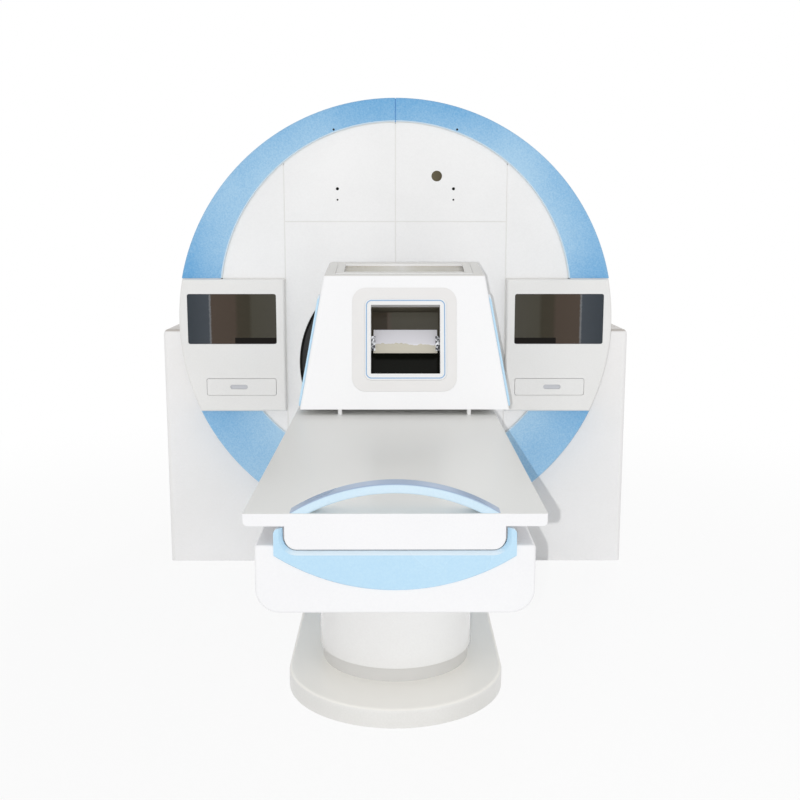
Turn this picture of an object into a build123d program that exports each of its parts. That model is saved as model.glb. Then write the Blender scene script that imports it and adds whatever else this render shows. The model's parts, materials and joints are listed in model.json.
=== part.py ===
from build123d import *
from math import atan, cos, sin, tan
import os

# A scanner with a round, disc-fronted gantry, a bore through it, and a sliding table on a lifting column.
# A sloping hood with a square window stands on the table in front of the bore.
# Frame: +X to the right seen from the table's foot end, +Y from the foot end back through the bore, +Z up.
# The origin is on the floor, in the middle of the machine's length and width. All sizes are millimetres.

# Fits that every piece shares
fit = 0.3
seam = 3
overrun = 60

# Plan of the machine, from the foot end of the table to the back
table_reach = 2010
disc_depth = 120
cabinet_depth = 1000
rear_cover_depth = 30

# Round front of the gantry
disc_radius = 920
disc_centre_z = 1099
ring_inner_radius = 739
ring_inner_z = 1185.5
ring_proud = 12
ring_skirt_depth = 62
ring_bevel = 4
panel_thickness = 30
panel_edge_radius = 1.5
centre_panel_width = 930
panel_split_z = 1518
frame_radius = 905
frame_wall = 14
frame_plate = 12
frame_rib = 12
frame_bore_wall = 15

# Round port and the small sighting holes in the upper panels
port_x = 172
port_z = 1705
port_radius = 22
port_depth = 12
port_recess = 3
sight_x = 242
sight_upper_z = 1653
sight_upper_radius = 6.5
sight_lower_z = 1608
sight_lower_radius = 4
sight_depth = 10
sight_recess = 2

# Screen pods at the two sides of the round front
pod_top_z = 1280
pod_bottom_z = 719
pod_proud = 45
pod_inset = 8
pod_wall = 8
pod_edge_radius = 9
screen_x = 689
screen_z = 1113
screen_width = 374
screen_height = 211
screen_corner = 9
screen_margin = 14
screen_depth = 30
screen_recess = 1.5
drawer_x = 655
drawer_z = 824
drawer_width = 293
drawer_height = 70
drawer_corner = 7
drawer_gap = 1.6
tray_width = 268
tray_height = 46
tray_depth = 124
tray_wall = 4
tray_drop = 8
tray_shelf = 6
pull_width = 74
pull_height = 19
pull_depth = 6
pull_shift = 11

# Bore, coils and magnet
bore_z = 920
bore_radius = 400
bore_wall = 9.7
bore_lip_radius = 6
body_coil_thickness = 20
gradient_thickness = 40
magnet_radius = 780
magnet_end_gap = 150
magnet_edge_radius = 45
coil_end_gap = 190
turret_radius = 110
turret_height = 150
cradle_width = 900
cradle_height = 280
cradle_thickness = 110
cradle_spacing = 420

# Cabinet, top cover and back of the gantry
cabinet_width = 2038
cabinet_height = 1053
cabinet_wall = 10
cabinet_edge_radius = 22
door_margin = 90
door_corner = 24
latch_inset = 46
latch_spacing = 560
latch_radius = 16
latch_depth = 5
door_pull_width = 34
door_pull_length = 130
door_pull_depth = 6
seam_depth = 3
top_cover_radius = 860
top_cover_wall = 10
top_cover_sections = 3
rear_cover_radius = 880
rear_cover_edge_radius = 18
rear_collar_width = 60
rear_screw_count = 16
rear_screw_inset = 40
rear_screw_radius = 9
rear_screw_depth = 4
back_panel_thickness = 10
vent_width = 300
vent_height = 12
vent_pitch = 34
vent_rows = 9
vent_margin = 69
vent_z = 225

# Floor plate and lifting column
base_width = 707
base_setback = 527
base_thickness = 60
base_edge_radius = 12
column_setback = 972
shroud_radius = 255
shroud_wall = 5
shroud_gap = 47
shroud_flange = 12
shroud_flange_width = 40
inner_column_radius = 246
inner_column_wall = 10
inner_column_height = 440
guide_height = 30
rod_radius = 40
rod_foot_z = 200
cylinder_radius = 65
cylinder_height = 380

# Bed that carries the table
bed_width = 681
bed_bottom_z = 568
bed_top_z = 740
bed_corner_radius = 60
bed_top_radius = 8
bed_wall = 12
bed_cover = 30
bed_cover_radius = 6
bed_gap = 24
trim_proud = 4
trim_depth = 18
trim_top_gap = 5
trim_half_width = 293.5
trim_shoulder_z = 714
trim_bottom_z = 627.5
trim_horn_radius = 14
trim_edge_radius = 2.5
trim_lip = 9
rail_x = 306
rail_width = 20
rail_height = 18
rail_groove_radius = 3
rail_start = 200
rail_end = 24

# Sliding table with its handle and bearing blocks
table_width = 734
table_top_z = 820
lip_thickness = 32
lip_radius = 12
tongue_width = 534
tongue_depth = 58
tongue_radius = 30
tongue_clearance = 5
table_into_bore = 60
table_edge_radius = 2
handle_span = 508
handle_rise = 72
handle_thickness = 24
handle_depth = 54
handle_setback = 3
handle_edge_radius = 6
block_width = 46
block_length = 90
block_lift = 6
block_front = 740
block_rear = 320

# Hood on the table
hood_x = 33
hood_clearance = 317
hood_foot = 20
hood_width = 765
hood_top_width = 595
hood_front_height = 481
hood_front_lean = 120
hood_depth = 372
hood_back_rise = 42
hood_wall = 10
hood_edge_radius = 9
hood_rear_radius = 18
hood_base_thickness = 12
foot_radius = 8
foot_x = 236
foot_front = 14
foot_rear = 340
side_panel_proud = 8
side_panel_inset = 4
side_panel_share = 0.86
side_panel_corner = 34
side_panel_edge_radius = 3
top_plate_width = 508
top_plate_gap = 1.5
top_plate_depth = 200
top_plate_proud = 1.5
slot_width = 450
slot_depth = 142
slot_corner = 3
top_pane_thickness = 4
top_pane_drop = 6
window_share = 0.52
window_shift = 4
bezel_size = 383
bezel_corner = 50
bezel_proud = 2
line_size = 290
line_width = 3.5
line_corner = 21
line_proud = 0.8
frame_outer = 302
frame_corner = 27
frame_proud = 6
frame_depth = 46
frame_edge_radius = 3
window_size = 254
window_corner = 2
liner_wall = 6
liner_depth = 120
glass_thickness = 6
bar_bottom = -43
bar_bend = -8
bar_top = 48
bar_end_gap = 8
bar_front = 62
bar_slope = 26
bar_thickness = 9
bracket_width = 15
bracket_height = 54
bracket_thickness = 10
bracket_knob_length = 14

# Places along the machine, worked out from the plan
overall_length = table_reach + disc_depth + cabinet_depth + rear_cover_depth
foot_y = -overall_length / 2
disc_y = foot_y + table_reach
panel_back_y = disc_y + panel_thickness
cabinet_y = disc_y + disc_depth
back_y = cabinet_y + cabinet_depth
rear_y = back_y + rear_cover_depth
pod_y = disc_y - pod_proud
ring_y = disc_y - ring_proud
column_y = foot_y + column_setback
hood_y = disc_y - hood_clearance - hood_depth
hood_z = table_top_z + hood_foot

# Places up the machine
lip_bottom_z = table_top_z - lip_thickness
tongue_bottom_z = lip_bottom_z - tongue_depth
channel_z = tongue_bottom_z - tongue_clearance
channel_width = tongue_width + 2 * tongue_clearance
bore_seat_radius = bore_radius + bore_wall + fit
half_panel = centre_panel_width / 2

# Slopes of the hood's faces
front_lean_angle = atan(hood_front_lean / hood_front_height)
side_lean_angle = atan((hood_width - hood_top_width) / 2 / hood_front_height)
top_rise_angle = atan(hood_back_rise / (hood_depth - hood_front_lean))

LOW = Align.MIN
MID = Align.CENTER
HIGH = Align.MAX


def facing(y):
    """Upright plane at a depth, seen from the foot end: its own x and y are the machine's X and Z."""
    return Plane(origin=(0, y, 0), x_dir=(1, 0, 0), z_dir=(0, -1, 0))


def outward(side):
    """Alignment of a shape that starts at its location and grows away from the machine's middle."""
    return LOW if side > 0 else HIGH


def write(piece, name):
    piece.label = name
    export_step(piece, f"parts/{name}.step")


os.makedirs("parts", exist_ok=True)

# Floor plate: a round nose under the table's foot end, straight sides back to the cabinet
base_nose_y = foot_y + base_setback + base_width / 2
base_rear_y = cabinet_y - fit
with BuildPart() as base_plate:
    with BuildSketch(Plane.XY):
        with Locations((0, base_nose_y)):
            Circle(base_width / 2)
            Rectangle(base_width, base_rear_y - base_nose_y, align=(MID, LOW))
    extrude(amount=base_thickness)
    fillet(base_plate.faces().sort_by(Axis.Z)[-1].edges(), base_edge_radius)
write(base_plate.part, "base_plate")

# Fixed inner column with a guide band at its top, and the lift cylinder inside it
column_place = Plane(origin=(0, column_y, base_thickness))
shroud_bore = shroud_radius - shroud_wall
inner_column_bore = inner_column_radius - inner_column_wall
with BuildPart() as inner_column:
    with BuildSketch(column_place):
        Circle(inner_column_radius)
        Circle(inner_column_bore, mode=Mode.SUBTRACT)
    extrude(amount=inner_column_height)
    with BuildSketch(column_place.offset(inner_column_height - guide_height)):
        Circle(shroud_bore - fit)
        Circle(inner_column_bore, mode=Mode.SUBTRACT)
    extrude(amount=guide_height)
write(inner_column.part, "inner_column")

with BuildPart() as lift_cylinder:
    with BuildSketch(column_place):
        Circle(cylinder_radius)
    extrude(amount=cylinder_height)
    with BuildSketch(Plane(origin=(0, column_y, rod_foot_z - fit))):
        Circle(rod_radius + fit)
    extrude(amount=cylinder_height, mode=Mode.SUBTRACT)
write(lift_cylinder.part, "lift_cylinder")

# Moving shroud under the bed, with its bolting flange, and the lift rod
with BuildPart() as column_shroud:
    with BuildSketch(Plane(origin=(0, column_y, base_thickness + shroud_gap))):
        Circle(shroud_radius)
        Circle(shroud_bore, mode=Mode.SUBTRACT)
    extrude(amount=bed_bottom_z - base_thickness - shroud_gap)
    with BuildSketch(Plane(origin=(0, column_y, bed_bottom_z))):
        Circle(shroud_radius)
        Circle(shroud_bore - shroud_flange_width, mode=Mode.SUBTRACT)
    extrude(amount=-shroud_flange)
write(column_shroud.part, "column_shroud")

with BuildPart() as lift_rod:
    with BuildSketch(Plane(origin=(0, column_y, rod_foot_z))):
        Circle(rod_radius)
    extrude(amount=bed_bottom_z - rod_foot_z)
write(lift_rod.part, "lift_rod")

# Bed: a hollow moulding with a shallow channel along its top, and a cover over each end
bed_front_y = foot_y + trim_proud
bed_body_y = bed_front_y + bed_cover
bed_rear_y = disc_y - bed_gap


def bed_section(y, inset):
    """Cross-section of the bed, drawn in from its outside by an inset."""
    with BuildSketch(facing(y)) as section:
        with Locations((0, bed_bottom_z + inset)):
            Rectangle(bed_width - 2 * inset, bed_top_z - bed_bottom_z - 2 * inset, align=(MID, LOW))
        fillet(section.vertices().group_by(Axis.Y)[0], bed_corner_radius - inset)
        if inset < bed_top_radius:
            fillet(section.vertices().group_by(Axis.Y)[-1], bed_top_radius - inset)
        with Locations((0, channel_z - inset)):
            Rectangle(channel_width + 2 * inset, overrun, align=(MID, LOW), mode=Mode.SUBTRACT)
    return section.sketch


def trim_outline(y, grow):
    """The trim's face: two horns beside the channel, joined below it by a crescent."""
    half = trim_half_width + grow
    low = trim_bottom_z - grow
    sag = trim_shoulder_z - low
    sweep_radius = (half**2 + sag**2) / (2 * sag)
    horn_top_z = lip_bottom_z - trim_top_gap
    with BuildSketch(facing(y)) as outline:
        with Locations((0, low + sweep_radius)):
            Circle(sweep_radius)
        with Locations((0, trim_shoulder_z)):
            Rectangle(2 * half, sag, align=(MID, HIGH), mode=Mode.INTERSECT)
            Rectangle(2 * half, horn_top_z - trim_shoulder_z, align=(MID, LOW))
        fillet(outline.vertices().group_by(Axis.Y)[-1], trim_horn_radius)
        with Locations((0, channel_z)):
            RectangleRounded(
                channel_width, bed_top_z - bed_bottom_z, tongue_radius + tongue_clearance,
                align=(MID, LOW), mode=Mode.SUBTRACT,
            )
    return outline.sketch


with BuildPart() as bed_body:
    extrude(bed_section(bed_body_y, 0), amount=-(bed_rear_y - bed_cover - bed_body_y))
    extrude(
        bed_section(bed_body_y - overrun, bed_wall),
        amount=-(bed_rear_y - bed_body_y + 2 * overrun), mode=Mode.SUBTRACT,
    )
write(bed_body.part, "bed_body")

with BuildPart() as bed_front_cover:
    extrude(bed_section(bed_front_y, 0), amount=-bed_cover)
    fillet(bed_front_cover.faces().sort_by(Axis.Y)[0].edges(), bed_cover_radius)
    extrude(trim_outline(bed_front_y, fit), amount=-(trim_depth - trim_proud + fit), mode=Mode.SUBTRACT)
write(bed_front_cover.part, "bed_front_cover")

with BuildPart() as bed_rear_cover:
    extrude(bed_section(bed_rear_y - bed_cover, 0), amount=-bed_cover)
write(bed_rear_cover.part, "bed_rear_cover")

with BuildPart() as cradle_trim:
    extrude(trim_outline(foot_y, 0), amount=-trim_depth)
    front_edges = cradle_trim.faces().sort_by(Axis.Y)[0].edges()
    channel_edges = front_edges.filter_by(lambda edge: abs(edge.center().X) < channel_width / 2 + fit)
    channel_edges = channel_edges.filter_by(lambda edge: edge.center().Z > channel_z - fit)
    chamfer(channel_edges, trim_lip)
    front_edges = cradle_trim.faces().sort_by(Axis.Y)[0].edges()
    fillet(front_edges.filter_by(lambda edge: edge.center().Z < trim_shoulder_z - fit), trim_edge_radius)
write(cradle_trim.part, "cradle_trim")

# Linear rails along the bed's two shoulders, with a ball groove down each flank
rail_y = foot_y + rail_start
for side, hand in ((-1, "left"), (1, "right")):
    with BuildPart() as slide_rail:
        with BuildSketch(facing(rail_y)):
            with Locations((side * rail_x, bed_top_z)):
                Rectangle(rail_width, rail_height, align=(MID, LOW))
            with Locations((side * rail_x, bed_top_z + rail_height / 2)):
                with GridLocations(rail_width, 0, 2, 1):
                    Circle(rail_groove_radius, mode=Mode.SUBTRACT)
        extrude(amount=-(bed_rear_y - rail_end - rail_y))
    write(slide_rail.part, f"slide_rail_{hand}")

# Table: a wide lip over a deep tongue that runs down the middle of the bed
with BuildPart() as table_top:
    with BuildSketch(facing(foot_y)) as table_section:
        with Locations((0, table_top_z)):
            Rectangle(table_width, lip_thickness, align=(MID, HIGH))
        fillet(table_section.vertices().group_by(Axis.Y)[0], lip_radius)
        with Locations((0, lip_bottom_z)):
            Rectangle(tongue_width, tongue_depth, align=(MID, HIGH))
        fillet(table_section.vertices().group_by(Axis.Y)[0], tongue_radius)
    extrude(amount=-(table_reach + table_into_bore))
    fillet(table_top.faces().sort_by(Axis.Y)[0].edges(), table_edge_radius)
write(table_top.part, "table_top")

# Arched handle across the table's foot end
handle_radius = (handle_span**2 / 4 + handle_rise**2) / (2 * handle_rise)
with BuildPart() as table_handle:
    with BuildSketch(facing(foot_y + handle_setback)):
        with Locations((0, table_top_z + handle_rise - handle_radius)):
            Circle(handle_radius)
            Circle(handle_radius - handle_thickness, mode=Mode.SUBTRACT)
        with Locations((0, table_top_z)):
            Rectangle(handle_span, handle_rise, align=(MID, LOW), mode=Mode.INTERSECT)
    extrude(amount=-handle_depth)
    fillet(table_handle.edges().filter_by(GeomType.CIRCLE), handle_edge_radius)
write(table_handle.part, "table_handle")

# Four bearing blocks under the lip, each straddling a rail
with BuildPart() as bearing_blocks:
    for middle_y in (foot_y + block_front, disc_y - block_rear):
        with BuildSketch(facing(middle_y - block_length / 2)):
            with Locations((-rail_x, lip_bottom_z), (rail_x, lip_bottom_z)):
                Rectangle(block_width, lip_bottom_z - bed_top_z - block_lift, align=(MID, HIGH))
            with Locations((-rail_x, bed_top_z), (rail_x, bed_top_z)):
                Rectangle(
                    rail_width + 2 * fit, rail_height + fit, align=(MID, LOW), mode=Mode.SUBTRACT,
                )
        extrude(amount=-block_length)
write(bearing_blocks.part, "bearing_blocks")

# Hood: a leaning, tapering cover, hollow and open below
hood_back_height = hood_front_height + hood_back_rise


def hood_form(inset, reach_down):
    """The hood's solid shape, drawn in by an inset and carried on below its rim by a reach."""
    half_low = hood_width / 2 + reach_down * tan(side_lean_angle)
    half_high = hood_width / 2 - hood_back_height * tan(side_lean_angle)
    low_z = hood_z - reach_down
    high_z = hood_z + hood_back_height
    with BuildPart() as form:
        with BuildSketch(facing(hood_y - hood_depth)):
            Polygon(
                (hood_x - half_low, low_z), (hood_x + half_low, low_z),
                (hood_x + half_high, high_z), (hood_x - half_high, high_z), align=None,
            )
            if inset > 0:
                offset(amount=-inset, kind=Kind.INTERSECTION, mode=Mode.REPLACE)
        extrude(amount=-3 * hood_depth)
        with BuildSketch(Plane.YZ.offset(hood_x)):
            Polygon(
                (hood_y - reach_down * tan(front_lean_angle), low_z), (hood_y + hood_depth, low_z),
                (hood_y + hood_depth, high_z), (hood_y + hood_front_lean, hood_z + hood_front_height),
                align=None,
            )
            if inset > 0:
                offset(amount=-inset, kind=Kind.INTERSECTION, mode=Mode.REPLACE)
        extrude(amount=hood_width, both=True, mode=Mode.INTERSECT)
    return form.part


# Faces of the hood that carry the window, the top plate and the side panels
front_slope = hood_front_height / cos(front_lean_angle)
window_up = window_share * front_slope
bezel_face = Plane(
    origin=(
        hood_x, hood_y + window_up * sin(front_lean_angle), hood_z + window_up * cos(front_lean_angle),
    ),
    x_dir=(1, 0, 0), z_dir=(0, -cos(front_lean_angle), sin(front_lean_angle)),
)
window_face = bezel_face.shift_origin(bezel_face.origin + bezel_face.x_dir * window_shift)
top_face = Plane(
    origin=(
        hood_x, hood_y + (hood_front_lean + hood_depth) / 2,
        hood_z + hood_front_height + hood_back_rise / 2,
    ),
    x_dir=(1, 0, 0), z_dir=(0, -sin(top_rise_angle), cos(top_rise_angle)),
)

with BuildPart() as hood_shell:
    add(hood_form(0, 0))
    rear_corners = hood_shell.faces().sort_by(Axis.Y)[-1].edges().filter_by(Axis.X, reverse=True)
    fillet(rear_corners, hood_rear_radius)
    upper_edges = hood_shell.edges().filter_by(lambda edge: edge.center().Z > hood_z + hood_wall)
    rear_limit_y = hood_y + hood_depth - hood_rear_radius
    fillet(upper_edges.filter_by(lambda edge: edge.center().Y < rear_limit_y), hood_edge_radius)
    add(hood_form(hood_wall, overrun), mode=Mode.SUBTRACT)
    with BuildSketch(bezel_face):
        RectangleRounded(bezel_size + 2 * fit, bezel_size + 2 * fit, bezel_corner + fit)
    extrude(amount=-2 * hood_wall, mode=Mode.SUBTRACT)
    with BuildSketch(top_face):
        Rectangle(top_plate_width + 2 * top_plate_gap, top_plate_depth + 2 * fit)
    extrude(amount=-2 * hood_wall, mode=Mode.SUBTRACT)
write(hood_shell.part, "hood_shell")

with BuildPart() as hood_base:
    add(hood_form(hood_wall + fit, overrun))
    with BuildSketch(Plane.XY.offset(hood_z)):
        with Locations((hood_x, hood_y)):
            Rectangle(2 * hood_width, 3 * hood_depth)
    extrude(amount=hood_base_thickness, mode=Mode.INTERSECT)
write(hood_base.part, "hood_base")

with BuildPart() as hood_feet:
    with BuildSketch(Plane.XY.offset(table_top_z)):
        with Locations(
            (hood_x - foot_x, hood_y + foot_front), (hood_x + foot_x, hood_y + foot_front),
            (hood_x - foot_x, hood_y + foot_rear), (hood_x + foot_x, hood_y + foot_rear),
        ):
            Circle(foot_radius)
    extrude(amount=hood_foot)
write(hood_feet.part, "hood_feet")

for side, hand in ((-1, "left"), (1, "right")):
    side_face = Plane(
        origin=(hood_x + side * hood_width / 2, hood_y, hood_z), x_dir=(0, side, 0),
        z_dir=(side * cos(side_lean_angle), 0, sin(side_lean_angle)),
    )
    panel_top = side_panel_share * hood_front_height
    panel_front = side_panel_inset + hood_front_lean * side_panel_inset / hood_front_height
    with BuildPart() as hood_side:
        with BuildSketch(side_face) as side_outline:
            Polygon(
                (side * panel_front, side_panel_inset),
                (side * (hood_depth - side_panel_inset), side_panel_inset),
                (side * (hood_depth - side_panel_inset), panel_top),
                (side * (side_panel_inset + panel_top * tan(front_lean_angle)), panel_top),
                align=None,
            )
            fillet(side_outline.vertices(), side_panel_corner)
        extrude(amount=side_panel_proud)
        outer_edges = hood_side.faces().sort_by(Axis.X)[-1 if side > 0 else 0].edges()
        fillet(outer_edges, side_panel_edge_radius)
    write(hood_side.part, f"hood_side_{hand}")

with BuildPart() as hood_top_plate:
    with BuildSketch(top_face.offset(top_plate_proud)):
        Rectangle(top_plate_width, top_plate_depth)
        RectangleRounded(slot_width, slot_depth, slot_corner, mode=Mode.SUBTRACT)
    extrude(amount=-(hood_wall + top_plate_proud))
write(hood_top_plate.part, "hood_top_plate")

with BuildPart() as hood_top_pane:
    with BuildSketch(top_face.offset(-top_pane_drop)):
        RectangleRounded(slot_width - 2 * fit, slot_depth - 2 * fit, slot_corner)
    extrude(amount=-top_pane_thickness)
write(hood_top_pane.part, "hood_top_pane")

# Window: bezel, coloured line, frame, dark lining and the glass behind
with BuildPart() as window_bezel:
    with BuildSketch(bezel_face.offset(bezel_proud)):
        RectangleRounded(bezel_size, bezel_size, bezel_corner)
        with Locations((window_shift, 0)):
            RectangleRounded(
                frame_outer + 2 * fit, frame_outer + 2 * fit, frame_corner + fit, mode=Mode.SUBTRACT,
            )
    extrude(amount=-(hood_wall + bezel_proud))
write(window_bezel.part, "window_bezel")

with BuildPart() as window_line:
    with BuildSketch(window_face.offset(frame_proud)):
        RectangleRounded(line_size, line_size, line_corner)
        RectangleRounded(
            line_size - 2 * line_width, line_size - 2 * line_width, line_corner - line_width,
            mode=Mode.SUBTRACT,
        )
    extrude(amount=line_proud)
write(window_line.part, "window_line")

with BuildPart() as window_frame:
    with BuildSketch(window_face.offset(frame_proud)):
        RectangleRounded(frame_outer, frame_outer, frame_corner)
    extrude(amount=-(frame_proud + frame_depth))
    fillet(window_frame.faces().sort_by(Axis.Y)[0].edges(), frame_edge_radius)
    with BuildSketch(window_face.offset(frame_proud)):
        RectangleRounded(window_size, window_size, window_corner)
    extrude(amount=-(frame_proud + frame_depth), mode=Mode.SUBTRACT)
write(window_frame.part, "window_frame")

with BuildPart() as window_liner:
    with BuildSketch(window_face.offset(-frame_depth)):
        Rectangle(window_size + 2 * liner_wall, window_size + 2 * liner_wall)
        Rectangle(window_size, window_size, mode=Mode.SUBTRACT)
    extrude(amount=-liner_depth)
write(window_liner.part, "window_liner")

with BuildPart() as window_glass:
    with BuildSketch(window_face.offset(-frame_depth - liner_depth)):
        Rectangle(window_size + 2 * liner_wall, window_size + 2 * liner_wall)
    extrude(amount=-glass_thickness)
write(window_glass.part, "window_glass")

# Folded bar across the window with a clamp at each end
bar_length = window_size - 2 * bar_end_gap
bar_face = Plane(
    origin=window_face.origin - window_face.x_dir * (bar_length / 2),
    x_dir=-window_face.z_dir, z_dir=window_face.x_dir,
)
with BuildPart() as window_bar:
    with BuildSketch(bar_face):
        Polygon(
            (bar_front, bar_bottom), (bar_front, bar_bend), (bar_front + bar_slope, bar_top),
            (bar_front + bar_slope + bar_thickness, bar_top), (bar_front + bar_thickness, bar_bend),
            (bar_front + bar_thickness, bar_bottom), align=None,
        )
    extrude(amount=bar_length)
write(window_bar.part, "window_bar")

with BuildPart() as bar_clamps:
    clamp_x = (window_size - bracket_width) / 2 - fit
    with BuildSketch(window_face.offset(-bar_front)):
        with Locations((-clamp_x, bar_bend), (clamp_x, bar_bend)):
            Rectangle(bracket_width, bracket_height)
    extrude(amount=bracket_thickness)
    with BuildSketch(window_face.offset(bracket_thickness - bar_front)):
        with Locations((-clamp_x, bar_bend), (clamp_x, bar_bend)):
            with GridLocations(0, bracket_height / 2, 1, 2):
                Circle(bracket_width / 2)
    extrude(amount=bracket_knob_length)
write(bar_clamps.part, "bar_clamps")

# Dished frame behind the gantry's round front: back plate, two upright ribs, outer rim and bore rim
frame_depth_ahead = disc_depth - panel_thickness - frame_plate
with BuildPart() as front_frame:
    with BuildSketch(facing(cabinet_y - frame_plate)):
        with Locations((0, disc_centre_z)):
            Circle(frame_radius)
    extrude(amount=-frame_plate)
    with BuildSketch(facing(panel_back_y)):
        with Locations((0, disc_centre_z)):
            with GridLocations(centre_panel_width, 0, 2, 1):
                Rectangle(frame_rib, 2 * frame_radius)
            Circle(frame_radius, mode=Mode.INTERSECT)
    extrude(amount=-frame_depth_ahead)
    with BuildSketch(facing(panel_back_y)):
        with Locations((0, disc_centre_z)):
            Circle(frame_radius)
            Circle(frame_radius - frame_wall, mode=Mode.SUBTRACT)
    extrude(amount=-frame_depth_ahead)
    with BuildSketch(facing(panel_back_y)):
        with Locations((0, bore_z)):
            Circle(bore_seat_radius + frame_bore_wall)
    extrude(amount=-frame_depth_ahead)
    with BuildSketch(facing(panel_back_y)):
        with Locations((0, bore_z)):
            Circle(bore_seat_radius)
    extrude(amount=-disc_depth, mode=Mode.SUBTRACT)
write(front_frame.part, "front_frame")


def ring_segment(side, upper):
    """A quarter of the coloured ring, from the machine's middle plane to a screen pod, with its skirt."""
    grow_up = LOW if upper else HIGH
    end_z = pod_top_z + seam if upper else pod_bottom_z - seam
    corner = (side * seam / 2, end_z)
    with BuildPart() as segment:
        with BuildSketch(facing(ring_y)):
            with Locations((0, disc_centre_z)):
                Circle(disc_radius)
            with Locations((0, ring_inner_z)):
                Circle(ring_inner_radius, mode=Mode.SUBTRACT)
            with Locations(corner):
                Rectangle(
                    2 * disc_radius, 2 * disc_radius, align=(outward(side), grow_up), mode=Mode.INTERSECT,
                )
        extrude(amount=-(ring_proud + panel_thickness))
        chamfer(segment.faces().sort_by(Axis.Y)[0].edges().filter_by(GeomType.CIRCLE), ring_bevel)
        with BuildSketch(facing(panel_back_y)):
            with Locations((0, disc_centre_z)):
                Circle(disc_radius)
                Circle(frame_radius + fit, mode=Mode.SUBTRACT)
            with Locations(corner):
                Rectangle(
                    2 * disc_radius, 2 * disc_radius, align=(outward(side), grow_up), mode=Mode.INTERSECT,
                )
        extrude(amount=-ring_skirt_depth)
    return segment.part


def face_panel(side, near_x, far_x, low_z, high_z, holes):
    """A flat white panel inside the coloured ring, cut to a rectangle and pierced by round holes."""
    with BuildPart() as panel:
        with BuildSketch(facing(disc_y)):
            with Locations((0, ring_inner_z)):
                Circle(ring_inner_radius - seam)
            with Locations((side * near_x, low_z)):
                Rectangle(far_x - near_x, high_z - low_z, align=(outward(side), LOW), mode=Mode.INTERSECT)
            with Locations((0, bore_z)):
                Circle(bore_seat_radius, mode=Mode.SUBTRACT)
        extrude(amount=-panel_thickness)
        fillet(panel.faces().sort_by(Axis.Y)[0].edges(), panel_edge_radius)
        for hole_x, hole_z, hole_radius, hole_depth in holes:
            with BuildSketch(facing(disc_y)):
                with Locations((hole_x, hole_z)):
                    Circle(hole_radius)
            extrude(amount=-hole_depth, mode=Mode.SUBTRACT)
    return panel.part


def sight_holes(side):
    """Blind seats of the two sighting holes in one upper panel."""
    depth = sight_recess + sight_depth
    return [
        (side * sight_x, sight_upper_z, sight_upper_radius, depth),
        (side * sight_x, sight_lower_z, sight_lower_radius, depth),
    ]


ring_low_z = ring_inner_z - ring_inner_radius
ring_high_z = ring_inner_z + ring_inner_radius
inner_edge = half_panel - seam / 2
outer_edge = half_panel + seam / 2
port_hole = [(port_x, port_z, port_radius, port_recess + port_depth)]
for side, hand in ((-1, "left"), (1, "right")):
    write(ring_segment(side, True), f"ring_upper_{hand}")
    write(ring_segment(side, False), f"ring_lower_{hand}")
    upper_holes = sight_holes(side) + (port_hole if side > 0 else [])
    upper = face_panel(side, seam / 2, inner_edge, panel_split_z + seam / 2, ring_high_z, upper_holes)
    write(upper, f"panel_upper_{hand}")
    lower = face_panel(side, seam / 2, inner_edge, ring_low_z, panel_split_z - seam / 2, [])
    write(lower, f"panel_lower_{hand}")
    flank = face_panel(side, outer_edge, ring_inner_radius, pod_top_z + seam, ring_high_z, [])
    write(flank, f"panel_side_{hand}")
    corner = face_panel(side, outer_edge, ring_inner_radius, ring_low_z, pod_bottom_z - seam, [])
    write(corner, f"panel_corner_{hand}")

# Round port lens and the dark plugs in the sighting holes
with BuildPart() as port_lens:
    with BuildSketch(facing(disc_y + port_recess)):
        with Locations((port_x, port_z)):
            Circle(port_radius - fit)
    extrude(amount=-port_depth)
write(port_lens.part, "port_lens")

with BuildPart() as sight_plugs:
    with BuildSketch(facing(disc_y + sight_recess)):
        with Locations((-sight_x, sight_upper_z), (sight_x, sight_upper_z)):
            Circle(sight_upper_radius - fit)
        with Locations((-sight_x, sight_lower_z), (sight_x, sight_lower_z)):
            Circle(sight_lower_radius - fit)
    extrude(amount=-sight_depth)
write(sight_plugs.part, "sight_plugs")

# Screen pods: hollow mouldings with a screen opening above and a drawer opening below
pod_depth = pod_proud + panel_thickness
drawer_bottom_z = drawer_z - drawer_height / 2
tray_z = drawer_bottom_z + tray_drop


def pod_outline(side, y, inset):
    """The pod's face: straight inner, upper and lower edges and the round front's own outer edge."""
    with BuildSketch(facing(y)) as outline:
        with Locations((0, disc_centre_z)):
            Circle(disc_radius - pod_inset - inset)
        with Locations((side * (outer_edge + inset), pod_bottom_z + inset)):
            Rectangle(
                disc_radius, pod_top_z - pod_bottom_z - 2 * inset,
                align=(outward(side), LOW), mode=Mode.INTERSECT,
            )
    return outline.sketch


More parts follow.
